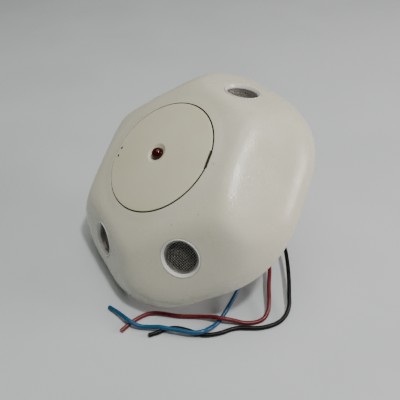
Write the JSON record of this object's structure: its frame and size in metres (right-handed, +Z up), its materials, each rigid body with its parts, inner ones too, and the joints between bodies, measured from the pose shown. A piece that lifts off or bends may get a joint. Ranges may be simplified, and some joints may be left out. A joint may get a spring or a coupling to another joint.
{
  "type": "ceiling motion sensor",
  "caption": "Rounded hexagonal ceiling motion sensor with angled ultrasonic transducers, lift-off round cover, red indicator, threaded post with nut, and free wire leads.",
  "frame": {"origin": "centre of the footprint of the leaning housing, post and nut (the free leads left out), on the surface it rests on", "axes": "+Z up; +X along the resting front edge of the rim, across two corners of the hexagon; +Y towards the raised side, so the dome's face points up and towards -Y"},
  "size_m": [0.1326, 0.1107, 0.0767],
  "materials": {
    "housing_plastic": "fine moulded texture, warm off-white",
    "cover_plastic": "fine moulded texture, slightly yellowed",
    "bezel_plastic": "smooth semi-gloss white",
    "bush_rubber": "matt black",
    "can_aluminium": "satin drawn can",
    "screen_wire": "dark woven wire",
    "cone_aluminium": "satin",
    "phenolic": "matt",
    "led_red": "clear dark red resin",
    "board_green": "green solder mask",
    "trimmer_blue": "moulded",
    "trimmer_white": "moulded",
    "chip_black": "moulded epoxy",
    "capacitor_sleeve": "shrink sleeve",
    "zinc_steel": "zinc plate",
    "lead_red": "flexible insulation",
    "lead_blue": "flexible insulation",
    "lead_black": "flexible insulation"
  },
  "bodies": {
    "sensor": {"amplifier_chip": "chip_black", "bezel_sleeve_1": "bezel_plastic", "bezel_sleeve_2": "bezel_plastic", "bezel_sleeve_3": "bezel_plastic", "bezel_sleeve_4": "bezel_plastic", "black_lead": "lead_black", "black_lead_inner": "lead_black", "blue_lead": "lead_blue", "blue_lead_inner": "lead_blue", "board_screw_1": "zinc_steel", "board_screw_2": "zinc_steel", "board_screw_3": "zinc_steel", "circuit_board": "board_green", "delay_trimmer_body": "trimmer_blue", "driver_chip": "chip_black", "filter_capacitor": "capacitor_sleeve", "front_housing": "housing_plastic", "housing_screw_1": "zinc_steel", "housing_screw_2": "zinc_steel", "housing_screw_3": "zinc_steel", "housing_screw_4": "zinc_steel", "indicator_led": "led_red", "lead_bush": "bush_rubber", "lead_header": "trimmer_white", "led_spacer": "phenolic", "output_capacitor": "capacitor_sleeve", "range_trimmer_body": "trimmer_blue", "rear_cover": "housing_plastic", "red_lead": "lead_red", "red_lead_inner": "lead_red", "signal_chip": "chip_black", "timing_crystal": "zinc_steel", "transducer_base_1": "phenolic", "transducer_base_2": "phenolic", "transducer_base_3": "phenolic", "transducer_base_4": "phenolic", "transducer_can_1": "can_aluminium", "transducer_can_2": "can_aluminium", "transducer_can_3": "can_aluminium", "transducer_can_4": "can_aluminium", "transducer_cone_1": "cone_aluminium", "transducer_cone_2": "cone_aluminium", "transducer_cone_3": "cone_aluminium", "transducer_cone_4": "cone_aluminium", "transducer_screen_1": "screen_wire", "transducer_screen_2": "screen_wire", "transducer_screen_3": "screen_wire", "transducer_screen_4": "screen_wire", "transducer_wire_1": "lead_black", "transducer_wire_2": "lead_black", "transducer_wire_3": "lead_black", "transducer_wire_4": "lead_black", "voltage_regulator": "chip_black"},
    "cover": {"access_cover": "cover_plastic"},
    "range_rotor": {"range_trimmer_rotor": "trimmer_white"},
    "delay_rotor": {"delay_trimmer_rotor": "trimmer_white"},
    "washer": {"clamp_washer": "zinc_steel"},
    "nut": {"mounting_nut": "housing_plastic"}
  },
  "joints": [
    {"name": "cover_lift", "type": "slide", "parent": "sensor", "child": "cover", "axis": [0, -0.548, 0.8365], "range_m": [0, 0.03]},
    {"name": "range_adjust", "type": "hinge", "parent": "sensor", "child": "range_rotor", "pos_m": [-0.007, -0.00206, 0.06016], "axis": [0, -0.548, 0.8365], "range_deg": [-135, 135]},
    {"name": "delay_adjust", "type": "hinge", "parent": "sensor", "child": "delay_rotor", "pos_m": [0.007, -0.02234, 0.04688], "axis": [0, -0.548, 0.8365], "range_deg": [-135, 135]},
    {"name": "washer_travel", "type": "slide", "parent": "sensor", "child": "washer", "axis": [0, -0.548, 0.8365], "range_m": [-0.003, 0.009]},
    {"name": "nut_turn", "type": "hinge", "parent": "washer", "child": "nut", "pos_m": [0, 0.01082, 0.01839], "axis": [0, -0.548, 0.8365], "range_deg": [-360, 1080]}
  ],
  "couplings": [
    {"joint": "washer_travel", "follows": "nut_turn", "m_per_rad": 0.00047746}
  ]
}
